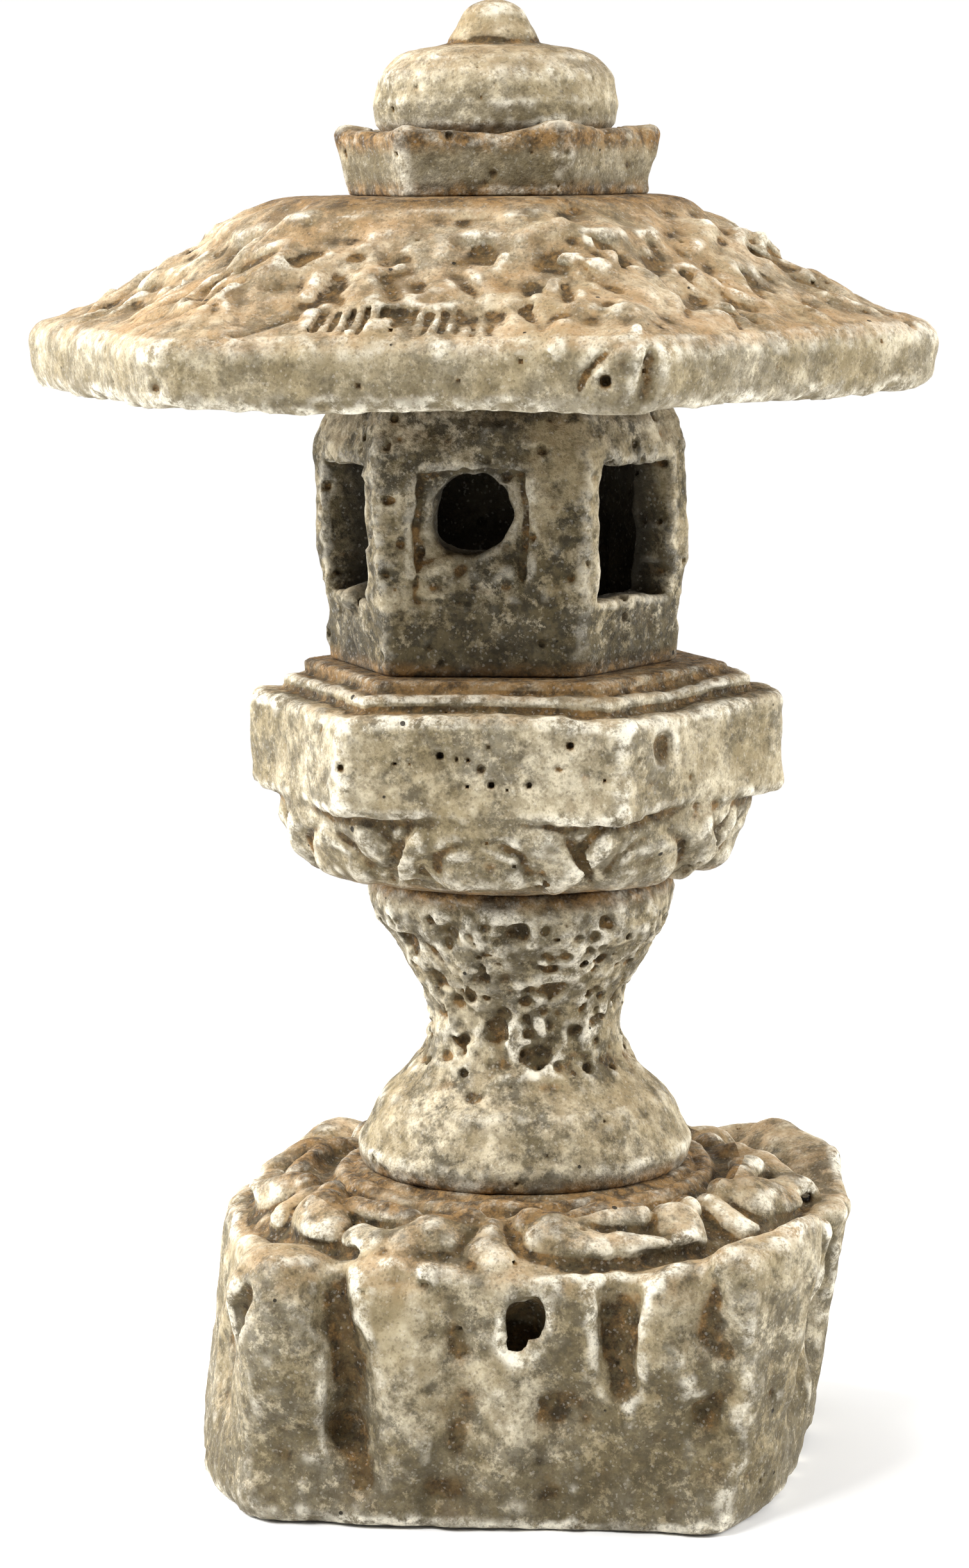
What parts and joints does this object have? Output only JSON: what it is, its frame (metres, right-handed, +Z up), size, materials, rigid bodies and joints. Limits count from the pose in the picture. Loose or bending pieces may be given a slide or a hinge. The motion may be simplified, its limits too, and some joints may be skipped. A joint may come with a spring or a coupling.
{
  "type": "stone lantern",
  "caption": "Stacked stone garden lantern: rough rock base with lotus petals, waisted round post, hexagonal platform, windowed firebox, wide hexagonal roof, square dew basin and domed finial.",
  "frame": {"origin": "on the axis of the post at the underside of the base", "axes": "+Z up, the front panel with the round window faces -Y, +X to the right seen from the front"},
  "size_m": [0.399, 0.3456, 0.633],
  "materials": {
    "cast_stone": "rough, cream cast stone with sand grain and air holes",
    "cast_stone_stained": "rough cast stone with orange-brown stain in its hollows",
    "cast_stone_grimed": "rough cast stone with grey-olive grime and pits",
    "steel": "satin stainless bar"
  },
  "bodies": {
    "base": {"base": "cast_stone_grimed"},
    "post": {"post": "cast_stone"},
    "platform": {"platform": "cast_stone", "platform_dowels": "steel"},
    "firebox": {"firebox": "cast_stone_grimed", "firebox_dowels": "steel"},
    "roof": {"roof": "cast_stone_stained"},
    "dew_basin": {"dew_basin": "cast_stone"},
    "finial": {"finial": "cast_stone", "finial_rod": "steel"}
  },
  "joints": [
    {"name": "post_lift", "type": "slide", "parent": "base", "child": "post", "axis": [0, 0, 1], "range_m": [0, 0.06]},
    {"name": "platform_lift", "type": "slide", "parent": "post", "child": "platform", "axis": [0, 0, 1], "range_m": [0, 0.06]},
    {"name": "firebox_lift", "type": "slide", "parent": "platform", "child": "firebox", "axis": [0, 0, 1], "range_m": [0, 0.05]},
    {"name": "roof_lift", "type": "slide", "parent": "firebox", "child": "roof", "axis": [0, 0, 1], "range_m": [0, 0.08]},
    {"name": "dew_basin_lift", "type": "slide", "parent": "roof", "child": "dew_basin", "axis": [0, 0, 1], "range_m": [0, 0.06]},
    {"name": "finial_lift", "type": "slide", "parent": "dew_basin", "child": "finial", "axis": [0, 0, 1], "range_m": [0, 0.09]}
  ]
}
